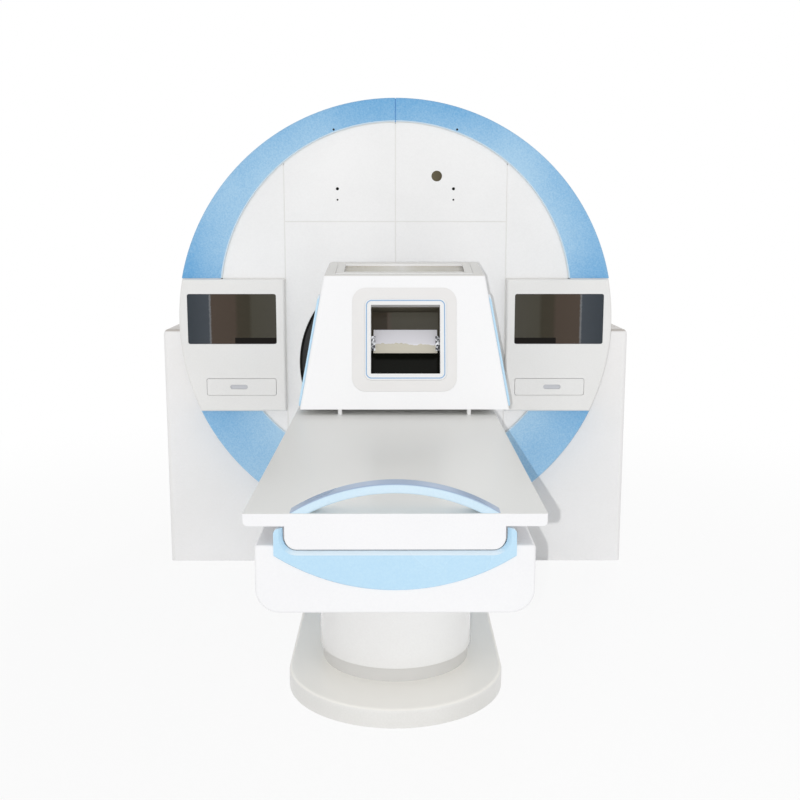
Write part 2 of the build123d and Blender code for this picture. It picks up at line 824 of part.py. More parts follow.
for side, hand in ((-1, "left"), (1, "right")):
    with BuildPart() as screen_pod:
        extrude(pod_outline(side, pod_y, 0), amount=-pod_depth)
        fillet(screen_pod.faces().sort_by(Axis.Y)[0].edges(), pod_edge_radius)
        extrude(pod_outline(side, pod_y + pod_wall, pod_wall), amount=-pod_depth, mode=Mode.SUBTRACT)
        with BuildSketch(facing(panel_back_y)):
            with Locations((0, disc_centre_z)):
                Circle(disc_radius - pod_inset)
                Circle(frame_radius + fit, mode=Mode.SUBTRACT)
            with Locations((side * outer_edge, pod_bottom_z)):
                Rectangle(
                    disc_radius, pod_top_z - pod_bottom_z, align=(outward(side), LOW), mode=Mode.INTERSECT,
                )
        extrude(amount=-ring_skirt_depth)
        with BuildSketch(facing(pod_y)):
            with Locations((side * screen_x, screen_z)):
                RectangleRounded(screen_width, screen_height, screen_corner)
            with Locations((side * drawer_x, drawer_z)):
                RectangleRounded(
                    drawer_width + 2 * drawer_gap, drawer_height + 2 * drawer_gap, drawer_corner + drawer_gap,
                )
        extrude(amount=-pod_wall, mode=Mode.SUBTRACT)
        with BuildSketch(facing(pod_y + pod_wall)):
            with Locations((side * drawer_x, tray_z - fit)):
                Rectangle(tray_width, tray_drop - fit + drawer_gap + tray_shelf, align=(MID, HIGH))
        extrude(amount=-tray_depth)
    write(screen_pod.part, f"screen_pod_{hand}")

    with BuildPart() as screen:
        with BuildSketch(facing(pod_y + pod_wall)):
            with Locations((side * screen_x, screen_z)):
                Rectangle(screen_width + 2 * screen_margin, screen_height + 2 * screen_margin)
        extrude(amount=-screen_depth)
        with BuildSketch(facing(pod_y + pod_wall)):
            with Locations((side * screen_x, screen_z)):
                RectangleRounded(screen_width - 2 * fit, screen_height - 2 * fit, screen_corner)
        extrude(amount=pod_wall - screen_recess)
    write(screen.part, f"screen_{hand}")

    with BuildPart() as drawer:
        with BuildSketch(facing(pod_y)):
            with Locations((side * drawer_x, drawer_z)):
                RectangleRounded(drawer_width, drawer_height, drawer_corner)
        extrude(amount=-(pod_wall - fit))
        with BuildSketch(facing(pod_y)):
            with Locations((side * (drawer_x + pull_shift), drawer_z)):
                SlotOverall(pull_width, pull_height)
        extrude(amount=-pull_depth, mode=Mode.SUBTRACT)
        with BuildSketch(facing(pod_y + pod_wall - fit)):
            with Locations((side * drawer_x, tray_z)):
                Rectangle(tray_width, tray_height, align=(MID, LOW))
        extrude(amount=-tray_depth)
        with BuildSketch(facing(pod_y + pod_wall - fit + tray_wall)):
            with Locations((side * drawer_x, tray_z + tray_wall)):
                Rectangle(tray_width - 2 * tray_wall, tray_height, align=(MID, LOW))
        extrude(amount=-(tray_depth - 2 * tray_wall), mode=Mode.SUBTRACT)
    write(drawer.part, f"drawer_{hand}")

# Bore lining through the whole gantry, the coils round it and the magnet
body_coil_radius = bore_seat_radius + body_coil_thickness
gradient_bore = body_coil_radius + fit
gradient_radius = gradient_bore + gradient_thickness
magnet_y = cabinet_y + magnet_end_gap
magnet_length = cabinet_depth - 2 * magnet_end_gap
coil_y = cabinet_y + coil_end_gap
coil_length = cabinet_depth - 2 * coil_end_gap


def sleeve(y, length, outer_radius, inner_radius):
    """A plain tube round the bore's axis."""
    with BuildPart() as tube:
        with BuildSketch(facing(y)):
            with Locations((0, bore_z)):
                Circle(outer_radius)
                Circle(inner_radius, mode=Mode.SUBTRACT)
        extrude(amount=-length)
    return tube.part


with BuildPart() as bore_liner:
    add(sleeve(disc_y, rear_y - disc_y, bore_radius + bore_wall, bore_radius))
    rims = bore_liner.edges().filter_by(GeomType.CIRCLE)
    fillet(rims.filter_by(lambda rim: rim.radius < bore_radius + bore_wall / 2), bore_lip_radius)
write(bore_liner.part, "bore_liner")
write(sleeve(coil_y, coil_length, body_coil_radius, bore_seat_radius), "body_coil")
write(sleeve(coil_y, coil_length, gradient_radius, gradient_bore), "gradient_coil")

with BuildPart() as magnet:
    add(sleeve(magnet_y, magnet_length, magnet_radius, gradient_radius + fit))
    rims = magnet.edges().filter_by(GeomType.CIRCLE)
    fillet(rims.filter_by(lambda rim: rim.radius > magnet_radius - fit), magnet_edge_radius)
    with BuildSketch(Plane(origin=(0, magnet_y + magnet_length / 2, bore_z + magnet_radius + turret_height))):
        Circle(turret_radius)
    extrude(amount=-(turret_height + (magnet_radius - gradient_radius) / 2))
write(magnet.part, "magnet")

with BuildPart() as magnet_cradles:
    for along in (-cradle_spacing / 2, cradle_spacing / 2):
        with BuildSketch(facing(magnet_y + magnet_length / 2 + along - cradle_thickness / 2)):
            Rectangle(cradle_width, cradle_height, align=(MID, LOW))
            with Locations((0, bore_z)):
                Circle(magnet_radius + fit, mode=Mode.SUBTRACT)
        extrude(amount=-cradle_thickness)
write(magnet_cradles.part, "magnet_cradles")

# Cabinet: a wide low shell, open below and behind, cut away round the drum
# Each side has a door seam, seats for two latches and a finger pull
drum_bore = top_cover_radius - top_cover_wall
with BuildPart() as cabinet_shell:
    with BuildSketch(Plane.XY):
        with Locations((0, cabinet_y)):
            Rectangle(cabinet_width, cabinet_depth, align=(MID, LOW))
    extrude(amount=cabinet_height)
    front_uprights = cabinet_shell.edges().filter_by(Axis.Z).group_by(Axis.Y)[0]
    top_rim = cabinet_shell.faces().sort_by(Axis.Z)[-1].edges().sort_by(Axis.Y)[:-1]
    fillet(front_uprights + top_rim, cabinet_edge_radius)
    with BuildSketch(Plane.XY.offset(cabinet_height - cabinet_wall)):
        with Locations((0, cabinet_y + cabinet_wall)):
            Rectangle(cabinet_width - 2 * cabinet_wall, cabinet_depth, align=(MID, LOW))
    extrude(amount=-cabinet_height, mode=Mode.SUBTRACT)
    with BuildSketch(facing(cabinet_y - overrun)):
        with Locations((0, disc_centre_z)):
            Circle(drum_bore)
    extrude(amount=-(cabinet_depth + 2 * overrun), mode=Mode.SUBTRACT)
    for side in (-1, 1):
        door_face = Plane(
            origin=(side * cabinet_width / 2, cabinet_y + cabinet_depth / 2, cabinet_height / 2),
            x_dir=(0, side, 0), z_dir=(side, 0, 0),
        )
        door_width = cabinet_depth - 2 * door_margin
        door_height = cabinet_height - 2 * door_margin
        with BuildSketch(door_face):
            RectangleRounded(door_width, door_height, door_corner)
            RectangleRounded(
                door_width - 2 * seam, door_height - 2 * seam, door_corner - seam, mode=Mode.SUBTRACT,
            )
        extrude(amount=-seam_depth, mode=Mode.SUBTRACT)
        handle_edge = -side * (door_width / 2 - latch_inset)
        with BuildSketch(door_face):
            with Locations((handle_edge, 0)):
                with GridLocations(0, latch_spacing, 1, 2):
                    Circle(latch_radius)
        extrude(amount=-latch_depth, mode=Mode.SUBTRACT)
        with BuildSketch(door_face):
            with Locations((handle_edge, 0)):
                SlotOverall(door_pull_length, door_pull_width, rotation=90)
        extrude(amount=-door_pull_depth, mode=Mode.SUBTRACT)
write(cabinet_shell.part, "cabinet_shell")

# Arched cover over the drum in three joined sections, standing on the cabinet's top
with BuildPart() as top_cover:
    with BuildSketch(facing(cabinet_y)):
        with Locations((0, disc_centre_z)):
            Circle(top_cover_radius)
            Circle(drum_bore, mode=Mode.SUBTRACT)
        with Locations((0, cabinet_height)):
            Rectangle(2 * top_cover_radius, 2 * top_cover_radius, align=(MID, LOW), mode=Mode.INTERSECT)
    extrude(amount=-cabinet_depth)
    for joint in range(1, top_cover_sections):
        with BuildSketch(facing(cabinet_y + joint * cabinet_depth / top_cover_sections - seam / 2)):
            with Locations((0, disc_centre_z)):
                Circle(2 * top_cover_radius)
                Circle(top_cover_radius - seam_depth, mode=Mode.SUBTRACT)
        extrude(amount=-seam, mode=Mode.SUBTRACT)
write(top_cover.part, "top_cover")

# Back of the gantry: two louvred panels in the cabinet and a round cover with the bore's far end,
# in four quarters round a collar, with screw seats along its edge
vent_x = cabinet_width / 2 - cabinet_wall - vent_margin - vent_width / 2
for side, hand in ((-1, "left"), (1, "right")):
    with BuildPart() as back_panel:
        with BuildSketch(facing(back_y - back_panel_thickness)):
            with Locations((side * seam / 2, 0)):
                Rectangle(
                    cabinet_width / 2 - cabinet_wall - fit - seam / 2, cabinet_height - cabinet_wall - fit,
                    align=(outward(side), LOW),
                )
            with Locations((0, disc_centre_z)):
                Circle(drum_bore, mode=Mode.SUBTRACT)
            with Locations((side * vent_x, vent_z)):
                with GridLocations(0, vent_pitch, 1, vent_rows):
                    SlotOverall(vent_width, vent_height, mode=Mode.SUBTRACT)
        extrude(amount=-back_panel_thickness)
    write(back_panel.part, f"back_panel_{hand}")

with BuildPart() as rear_cover:
    with BuildSketch(facing(back_y)):
        with Locations((0, disc_centre_z)):
            Circle(rear_cover_radius)
    extrude(amount=-rear_cover_depth)
    fillet(rear_cover.faces().sort_by(Axis.Y)[-1].edges(), rear_cover_edge_radius)
    with BuildSketch(facing(back_y)):
        with Locations((0, bore_z)):
            Circle(bore_seat_radius)
    extrude(amount=-rear_cover_depth, mode=Mode.SUBTRACT)
    collar_radius = bore_seat_radius + rear_collar_width
    with BuildSketch(facing(rear_y - seam_depth)):
        with Locations((0, bore_z)):
            Rectangle(seam, 2 * overall_length)
            Rectangle(2 * overall_length, seam)
            Circle(collar_radius + seam)
            Circle(collar_radius, mode=Mode.SUBTRACT)
    extrude(amount=-seam_depth, mode=Mode.SUBTRACT)
    with BuildSketch(facing(rear_y - rear_screw_depth)):
        with Locations((0, disc_centre_z)):
            with PolarLocations(
                rear_cover_radius - rear_screw_inset, rear_screw_count, start_angle=180 / rear_screw_count,
            ):
                Circle(rear_screw_radius)
    extrude(amount=-rear_screw_depth, mode=Mode.SUBTRACT)
write(rear_cover.part, "rear_cover")
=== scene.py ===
"""Looks of a bore scanner: round panelled front, wide cabinet, sliding table and a windowed hood.

Lengths are metres unless a name ends in _mm. +X is to the right seen from the table's foot end,
+Y runs back through the bore and +Z is up, as in the solids.
"""
import json
from math import cos, pi, radians, sin

import bpy
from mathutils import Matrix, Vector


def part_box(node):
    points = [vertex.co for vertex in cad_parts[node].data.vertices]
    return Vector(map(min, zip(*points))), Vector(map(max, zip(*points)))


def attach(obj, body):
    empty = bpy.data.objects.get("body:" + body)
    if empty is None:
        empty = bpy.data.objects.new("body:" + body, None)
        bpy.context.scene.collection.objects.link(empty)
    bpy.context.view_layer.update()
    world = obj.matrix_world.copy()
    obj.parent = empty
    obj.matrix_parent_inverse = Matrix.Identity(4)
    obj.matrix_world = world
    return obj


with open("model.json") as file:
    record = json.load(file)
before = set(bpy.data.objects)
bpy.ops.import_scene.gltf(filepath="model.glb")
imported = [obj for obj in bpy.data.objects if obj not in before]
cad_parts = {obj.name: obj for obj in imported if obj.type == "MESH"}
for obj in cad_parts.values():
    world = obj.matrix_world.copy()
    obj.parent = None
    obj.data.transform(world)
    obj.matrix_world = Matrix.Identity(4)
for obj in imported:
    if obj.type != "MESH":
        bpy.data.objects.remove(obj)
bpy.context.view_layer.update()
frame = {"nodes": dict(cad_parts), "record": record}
scene = bpy.context.scene
solids = frame["nodes"]


# Small tools


def linear(code):
    """Scene-linear colour of an sRGB hex code."""
    parts = [int(code[at:at + 2], 16) / 255 for at in (1, 3, 5)]
    return (*(p / 12.92 if p <= 0.04045 else ((p + 0.055) / 1.055) ** 2.4 for p in parts), 1)


def put(tree, kind, sockets=None, stops=(), **settings):
    """Adds a node with its settings and colour stops, and fills its sockets with values or with links."""
    node = tree.nodes.new(kind)
    for name, value in settings.items():
        setattr(node, name, value)
    for name, value in (sockets or {}).items():
        socket = node.inputs[name] if isinstance(name, int) else next(
            s for s in node.inputs if s.name == name and s.enabled
        )
        if isinstance(value, bpy.types.NodeSocket):
            tree.links.new(value, socket)
        else:
            socket.default_value = value
    for at, (position, code) in enumerate(stops):
        elements = node.color_ramp.elements
        element = elements[at] if at < 2 else elements.new(position)
        element.position, element.color = position, linear(code)
    return node


def new_finish(name, **constants):
    """A material with one Principled surface.

    Returns the material, its node tree, the surface and the coordinates that patterns read.
    """
    material = bpy.data.materials.new(name)
    material.use_nodes = True
    tree = material.node_tree
    surface = tree.nodes["Principled BSDF"]
    for socket, value in constants.items():
        surface.inputs[socket.replace("_", " ")].default_value = value
    place = put(tree, "ShaderNodeTexCoord").outputs["Object"]
    return material, tree, surface, place


def feed(tree, surface, **links):
    """Links patterns to the surface's sockets."""
    for socket, source in links.items():
        tree.links.new(source, surface.inputs[socket.replace("_", " ")])


# Finishes

# The drum's middle, and the ring's inner edge with its own middle, a little higher
hub_z, ring_z, ring_radius, ring_bevel = 1.099, 1.1855, 0.739, 0.004
# Painted sheen: how the ring's tone swings round the hub, and how it fades from the bevel outward
shoulders, painted_sheen_swing, ring_cloud_share = 4, 0.3, 0.45
ring_fade, painted_inner_sheen, outer_drop, bevel_blur = 0.13, 0.10, 0.065, 0.0005
# Ripple and pimples of the sprayed coats, drawn several times coarser than real ones so that they show
ripple_mm, ripple_depth = 14, 0.0006
pimple_mm, pimple_depth, pimple_strength = 4, 0.0005, 0.2
# Slow drift of a painted sheet's tone, and the ragged edge of a brushed coat
paint_drift_mm, brush_mm, brush_swing = 180, 35, 0.034
# Grain of glass, drawn coarse so that it shows, and how far it blurs the bands
glass_grain_mm, band_blur = 5, 0.02
# How far the roughness swings about its middle, or where it lies on glass
gel_swing, paint_swing, metal_swing = 0.05, 0.08, (0.05, 0.08)
glass_roughness = (0.06, 0.16)
# Part of a noise's range that spans a gel coat's tones, and the slopes between which painted top shading sets
# in
noise_low, noise_middle, noise_high = 0.32, 0.5, 0.68
top_shading_starts, top_shading_full = 0.5, 0.75


def gel_coat(
    name, pale, deep, cloud_mm=420, grain_mm=7, grain_share=0.3, roughness=0.30, peel=0.10, painted_top_shading=None,
    painted_bevel_highlight=None,
):
    """Sprayed gel coat: tone drifts over a panel, a fine grain shows, and the skin is faintly rippled.

    The grain is drawn coarser than the real one so that it shows.
    Painted top shading is the tone of faces that look up, painted to stand for how light falls on tops,
    darker on some pieces and paler on others. A painted bevel highlight is a pale tone on the ring's inner
    bevel. With it a painted sheen also swings the tone round the ring, palest at its four shoulders, and
    deepens it from the inner edge outward.
    """
    material, tree, surface, place = new_finish(
        name, IOR=1.5, Coat_Weight=0.2, Coat_Roughness=0.15, Coat_IOR=1.5
    )
    drift = put(tree, "ShaderNodeTexNoise", {"Vector": place, "Scale": 1000 / cloud_mm, "Detail": 2.0})
    grain = put(tree, "ShaderNodeTexNoise", {"Vector": place, "Scale": 1000 / grain_mm, "Detail": 2.0})
    cloud = drift.outputs["Fac"]
    # Painted sheen: the tone swings round the hub and deepens from the inner edge outward
    if painted_bevel_highlight:
        hub = put(tree, "ShaderNodeMapping", {
            "Vector": place, "Location": (0, -hub_z, 0), "Rotation": (radians(-90), 0, 0),
        })
        turn = put(tree, "ShaderNodeTexGradient", {"Vector": hub.outputs[0]}, gradient_type="RADIAL")
        angle = put(tree, "ShaderNodeMath", {
            0: turn.outputs["Fac"], 1: shoulders * 2 * pi,
        }, operation="MULTIPLY")
        swing = put(tree, "ShaderNodeMath", {0: angle.outputs[0]}, operation="COSINE")
        shoulder = put(tree, "ShaderNodeMath", {
            0: swing.outputs[0], 1: -painted_sheen_swing, 2: noise_middle,
        }, operation="MULTIPLY_ADD")
        cloud = put(tree, "ShaderNodeMix", {
            "Factor": ring_cloud_share, "A": shoulder.outputs[0], "B": cloud,
        }).outputs[0]
        flat = put(tree, "ShaderNodeVectorMath", {0: place, 1: (1, 0, 1)}, operation="MULTIPLY")
        reach = put(tree, "ShaderNodeVectorMath", {
            0: flat.outputs[0], 1: (0, 0, ring_z),
        }, operation="DISTANCE")
        painted_sheen_fade = put(tree, "ShaderNodeMapRange", {
            "Value": reach.outputs["Value"], "From Min": ring_radius, "From Max": ring_radius + ring_fade,
            "To Min": painted_inner_sheen, "To Max": -outer_drop,
        })
        cloud = put(tree, "ShaderNodeMath", {0: cloud, 1: painted_sheen_fade.outputs[0]}, operation="ADD").outputs[0]
    both = put(tree, "ShaderNodeMix", {"Factor": grain_share, "A": cloud, "B": grain.outputs["Fac"]})
    spread = put(tree, "ShaderNodeMapRange", {
        "Value": both.outputs[0], "From Min": noise_low, "From Max": noise_high,
    })
    tone = put(tree, "ShaderNodeMix", {
        "Factor": spread.outputs[0], "A": linear(deep), "B": linear(pale),
    }, data_type="RGBA")
    # Painted highlight: a pale tone on the ring's inner bevel
    if painted_bevel_highlight:
        past_bevel = put(tree, "ShaderNodeMapRange", {
            "Value": reach.outputs["Value"], "From Min": ring_radius + ring_bevel,
            "From Max": ring_radius + ring_bevel + bevel_blur,
        })
        tone = put(tree, "ShaderNodeMix", {
            "Factor": past_bevel.outputs[0], "A": linear(painted_bevel_highlight), "B": tone.outputs[2],
        }, data_type="RGBA")
    # Painted shading: a tone for faces that look up
    if painted_top_shading:
        facing = put(tree, "ShaderNodeNewGeometry").outputs["True Normal"]
        lift = put(tree, "ShaderNodeSeparateXYZ", {"Vector": facing}).outputs["Z"]
        painted_top_mask = put(tree, "ShaderNodeMapRange", {
            "Value": lift, "From Min": top_shading_starts, "From Max": top_shading_full,
        })
        tone = put(tree, "ShaderNodeMix", {
            "Factor": painted_top_mask.outputs[0], "A": tone.outputs[2], "B": linear(painted_top_shading),
        }, data_type="RGBA")
    gloss = put(tree, "ShaderNodeMapRange", {
        "Value": drift.outputs["Fac"], "To Min": roughness - gel_swing, "To Max": roughness + gel_swing,
    })
    ripple = put(tree, "ShaderNodeTexNoise", {"Vector": place, "Scale": 1000 / ripple_mm, "Detail": 1.0})
    skin = put(tree, "ShaderNodeBump", {
        "Height": ripple.outputs["Fac"], "Strength": peel, "Distance": ripple_depth,
    })
    feed(tree, surface, Base_Color=tone.outputs[2], Roughness=gloss.outputs[0], Normal=skin.outputs[0])
    return material


def sheet_paint(name, pale, deep, roughness, specular=0.5, below=None, below_z=0.0):
    """Powder-coated or satin-painted sheet: an even colour with a pimpled skin.

    Another colour may lie below a height, with the uneven edge of a brushed coat.
    """
    material, tree, surface, place = new_finish(name, IOR=1.5, Specular_IOR_Level=specular)
    pimples = put(tree, "ShaderNodeTexNoise", {"Vector": place, "Scale": 1000 / pimple_mm, "Detail": 2.0})
    drift = put(tree, "ShaderNodeTexNoise", {"Vector": place, "Scale": 1000 / paint_drift_mm, "Detail": 2.0})
    tone = put(tree, "ShaderNodeMix", {
        "Factor": drift.outputs["Fac"], "A": linear(deep), "B": linear(pale),
    }, data_type="RGBA")
    if below:
        height = put(tree, "ShaderNodeSeparateXYZ", {"Vector": place}).outputs["Z"]
        brush = put(tree, "ShaderNodeTexNoise", {"Vector": place, "Scale": 1000 / brush_mm, "Detail": 3.0})
        edge = put(tree, "ShaderNodeMath", {
            0: brush.outputs["Fac"], 1: brush_swing, 2: below_z - brush_swing / 2,
        }, operation="MULTIPLY_ADD")
        under = put(tree, "ShaderNodeMath", {0: height, 1: edge.outputs[0]}, operation="LESS_THAN")
        tone = put(tree, "ShaderNodeMix", {
            "Factor": under.outputs[0], "A": tone.outputs[2], "B": linear(below),
        }, data_type="RGBA")
    gloss = put(tree, "ShaderNodeMapRange", {
        "Value": pimples.outputs["Fac"], "To Min": roughness - paint_swing, "To Max": roughness + paint_swing,
    })
    skin = put(tree, "ShaderNodeBump", {
        "Height": pimples.outputs["Fac"], "Strength": pimple_strength, "Distance": pimple_depth,
    })
    feed(tree, surface, Base_Color=tone.outputs[2], Roughness=gloss.outputs[0], Normal=skin.outputs[0])
    return material


def ground_metal(name, pale, deep, roughness, along, mark_mm=2.5, half_span=0.5):
    """Ground or polished metal with hairlines that run one way, or with hard painted glints if the span is
    short.

    The hairlines are drawn coarser than real ones so that they show.
    """
    material, tree, surface, place = new_finish(name, Metallic=1.0)
    stretch = put(tree, "ShaderNodeMapping", {"Vector": place, "Scale": along})
    lines = put(tree, "ShaderNodeTexNoise", {
        "Vector": stretch.outputs[0], "Scale": 1000 / mark_mm, "Detail": 2.0,
    })
    spread = put(tree, "ShaderNodeMapRange", {
        "Value": lines.outputs["Fac"],
        "From Min": noise_middle - half_span, "From Max": noise_middle + half_span,
    })
    tone = put(tree, "ShaderNodeMix", {
        "Factor": spread.outputs[0], "A": linear(deep), "B": linear(pale),
    }, data_type="RGBA")
    gloss = put(tree, "ShaderNodeMapRange", {
        "Value": lines.outputs["Fac"],
        "To Min": roughness - metal_swing[0], "To Max": roughness + metal_swing[1],
    })
    feed(tree, surface, Base_Color=tone.outputs[2], Roughness=gloss.outputs[0])
    return material


def banded_glass(name, bands, across, specular, foot=None, foot_z=(0.0, 0.0), foot_share=2.0, folded=False):
    """Glossy glass with dim upright bands: painted reflections of the room on a switched-off display, or the
    tones of a smoked window.

    Each band is a share of the way across with its tone; the first two are the ends. The way runs between
    two places across the machine, counted from its middle to both sides if folded.
    A foot is a tone that takes over downward between two heights, over a share of the way across.
    """
    material, tree, surface, place = new_finish(name, IOR=1.5, Specular_IOR_Level=specular)
    grain = put(tree, "ShaderNodeTexNoise", {
        "Vector": place, "Scale": 1000 / glass_grain_mm, "Detail": 1.0,
    }).outputs["Fac"]
    split = put(tree, "ShaderNodeSeparateXYZ", {"Vector": place})
    place_x = split.outputs["X"]
    if folded:
        place_x = put(tree, "ShaderNodeMath", {0: place_x}, operation="ABSOLUTE").outputs[0]
    share = put(tree, "ShaderNodeMapRange", {
        "Value": place_x, "From Min": across[0], "From Max": across[1],
    }).outputs[0]
    blur = put(tree, "ShaderNodeMath", {
        0: grain, 1: band_blur, 2: share,
    }, operation="MULTIPLY_ADD").outputs[0]
    tone = put(tree, "ShaderNodeValToRGB", {"Fac": blur}, stops=bands).outputs["Color"]
    if foot:
        under = put(tree, "ShaderNodeMapRange", {
            "Value": split.outputs["Z"], "From Min": foot_z[1], "From Max": foot_z[0],
        }).outputs[0]
        within = put(tree, "ShaderNodeMath", {0: share, 1: foot_share}, operation="LESS_THAN").outputs[0]
        both = put(tree, "ShaderNodeMath", {0: under, 1: within}, operation="MULTIPLY").outputs[0]
        tone = put(tree, "ShaderNodeMix", {
            "Factor": both, "A": tone, "B": linear(foot),
        }, data_type="RGBA").outputs[2]
    smear = put(tree, "ShaderNodeMapRange", {
        "Value": grain, "To Min": glass_roughness[0], "To Max": glass_roughness[1],
    })
    feed(tree, surface, Base_Color=tone, Roughness=smear.outputs[0])
    return material


# Gel coat sprayed on glass-fibre mouldings: clean white with a soft sheen, a slow drift of tone over each
# panel and a faint ripple in what it mirrors
white_gel_coat = gel_coat("white_gel_coat", "#f6f6f6", "#eeeeee")
# The same on the pods and drawers, a shade greyer
pod_gel_coat = gel_coat("pod_gel_coat", "#efeeec", "#e8e7e5", roughness=0.32)
# The same on the table, dulled, with painted shade greying it on top
table_gel_coat = gel_coat(
    "table_gel_coat", "#fbfbfc", "#f5f5f7", grain_mm=5, grain_share=0.4, roughness=0.42, painted_top_shading="#eaeae7"
)
# The same on the bed, whiter than the panels
bed_gel_coat = gel_coat("bed_gel_coat", "#fbfbfc", "#f5f5f7")
# The same on the column's shroud, a little warmer
column_gel_coat = gel_coat("column_gel_coat", "#f3f3f2", "#ecebea", cloud_mm=300, roughness=0.20, peel=0.06)
# The same on the floor plate, creamier, with painted light making its top paler
base_gel_coat = gel_coat(
    "base_gel_coat", "#f1f0ed", "#e9e8e4", cloud_mm=300, grain_mm=5, grain_share=0.4, roughness=0.34,
    painted_top_shading="#faf8f2",
)
# The same on the hood, whitest of all in front, with painted shade turning its top a warm grey
hood_gel_coat = gel_coat("hood_gel_coat", "#fcfcfd", "#f8f8f9", roughness=0.36, painted_top_shading="#e2e0db")
# The same on the cabinet, with painted shade that greys its top
cabinet_gel_coat = gel_coat("cabinet_gel_coat", "#f6f5f5", "#f0efee", roughness=0.34, painted_top_shading="#bdb6b0")
# Tinted gel coat on the ring: a lively sky blue with a fine speckle; painted sheen makes it deeper at its
# top, its ends and its outer edge, and a painted highlight draws a pale line on the inner bevel
sky_blue_gel_coat = gel_coat(
    "sky_blue_gel_coat", "#a9d0ec", "#5aa2d6", cloud_mm=380, grain_mm=6, roughness=0.32, peel=0.12,
    painted_bevel_highlight="#d6e8f5",
)
# Tinted gel coat on the trim and the hood's sides: an icy blue, with painted reflection making faces that
# look up nearly white
pale_blue_gel_coat = gel_coat(
    "pale_blue_gel_coat", "#c9e9fc", "#bbe0f8", cloud_mm=300, grain_mm=6, grain_share=0.4, roughness=0.28,
    painted_top_shading="#e9f5fd",
)
# The same on the handle, with painted shade giving it a greyer blue on top
handle_gel_coat = gel_coat(
    "handle_gel_coat", "#d9eefb", "#cfe8f8", cloud_mm=300, grain_mm=6, grain_share=0.4, roughness=0.28,
    painted_top_shading="#9fb5d3",
)
# Satin-painted sheet round the window: an even warm grey without a mirror
bezel_satin = sheet_paint("bezel_satin", "#f0efee", "#eae8e7", roughness=0.45)
# Display glass over an unlit panel: dark, with painted reflections of the room in dim slate, brown and olive
# bands and a near-black foot
display_reflection_bands = (
    (0.00, "#4b4840"), (1.00, "#3a4046"), (0.28, "#47443a"), (0.32, "#3b362b"), (0.44, "#3d372c"),
    (0.48, "#4a3f36"), (0.74, "#4d4239"), (0.755, "#77787a"), (0.77, "#454a50"),
)
display_glass = banded_glass(
    "display_glass", display_reflection_bands, across=(0.502, 0.876), specular=0.12,
    foot="#130f0b", foot_z=(1.0335, 1.0345), foot_share=0.47, folded=True,
)
# Moulded lens of tinted acrylic: a dull olive eye
port_bands = ((0.0, "#655e4a"), (1.0, "#574f3d"))
port_glass = banded_glass("port_glass", port_bands, across=(0.150, 0.194), specular=0.2)
# Matt black inside the bore and the sighting holes: painted shade for the dark inside them
bore_painted_shade = sheet_paint("bore_painted_shade", "#1f1e1d", "#161514", roughness=0.7, specular=0.12)
# Matt black lacquer round the window's back, turning a dim brown above the bar
window_lining = sheet_paint(
    "window_lining", "#736e62", "#6b6658", roughness=0.7, specular=0.12, below="#1b1b19", below_z=1.072
)
# Smoked glass at the window's back: two dim browns above, black below
smoked_bands = (
    (0.00, "#4e483d"), (1.00, "#67645a"), (0.235, "#4e473e"), (0.265, "#6b6158"), (0.33, "#646157"),
)
smoked_glass = banded_glass(
    "smoked_glass", smoked_bands, across=(-0.092, 0.162), specular=0.10, foot="#1a1b16", foot_z=(1.050, 1.080)
)
# Clear acrylic sheet in the hood's top slot: sandy bands of what lies under it, with painted shade darkening
# both ends
pane_bands = (
    (0.00, "#6f6757"), (1.00, "#6f6757"), (0.04, "#b0a997"), (0.30, "#c8c3b4"), (0.50, "#d6d3cb"),
    (0.62, "#c4beae"), (0.96, "#b3ad9f"),
)
pane_acrylic = banded_glass("pane_acrylic", pane_bands, across=(-0.192, 0.258), specular=0.4)
# Screen-printed enamel line: a thin even blue
line_paint = sheet_paint("line_paint", "#92b9de", "#86aed6", roughness=0.4)
# Folded sheet brushed with two coats: lilac white above, a sandy coat with a ragged edge below
bar_paint = sheet_paint("bar_paint", "#ebeaf0", "#e0dfe5", roughness=0.35, below="#cdc8b9", below_z=1.067)
# Polished chrome plate with painted glints: bright spots between dark streaks of painted reflection
chrome_painted_glints = ground_metal(
    "chrome_painted_glints", "#f4f6fa", "#34363c", roughness=0.18, along=(1.0, 1.0, 0.5), mark_mm=9, half_span=0.09
)
# Ground bearing steel: cool grey with hairlines along the rail
rail_steel = ground_metal("rail_steel", "#b7babd", "#9a9da1", roughness=0.28, along=(1.0, 0.05, 1.0))
# Powder coat on the inner column: light grey with a soft bloom
column_paint = sheet_paint("column_paint", "#dddcda", "#d5d4d1", roughness=0.35)
# Powder coat on frames, louvres and plates: a plain mid grey
frame_paint = sheet_paint("frame_paint", "#989da2", "#878c91", roughness=0.5)
# Cast epoxy resin round the coils: an amber brown
coil_resin = sheet_paint("coil_resin", "#a0683c", "#7d4d2a", roughness=0.4)
# Enamel on the magnet's vessel: a cool light grey
magnet_paint = sheet_paint("magnet_paint", "#d6d8da", "#c9cbcd", roughness=0.4)
# Grey inserts in the drawer pulls: painted shade that shows the recess
pull_painted_shade = sheet_paint("pull_painted_shade", "#cfd0d4", "#c3c4c9", roughness=0.5)
# Extruded silicone rubber in the seams: a matt off-white line
seal_rubber = sheet_paint("seal_rubber", "#ebeae8", "#e5e4e1", roughness=0.6, specular=0.2)
# The same dyed blue, in the seam at the ring's top: a line a shade deeper than the ring
blue_seal_rubber = sheet_paint("blue_seal_rubber", "#67a0d8", "#5f98d0", roughness=0.6, specular=0.2)
# Moulded black nylon: a soft dark dot or socket
black_plastic = sheet_paint("black_plastic", "#2b2b2d", "#202022", roughness=0.4, specular=0.3)

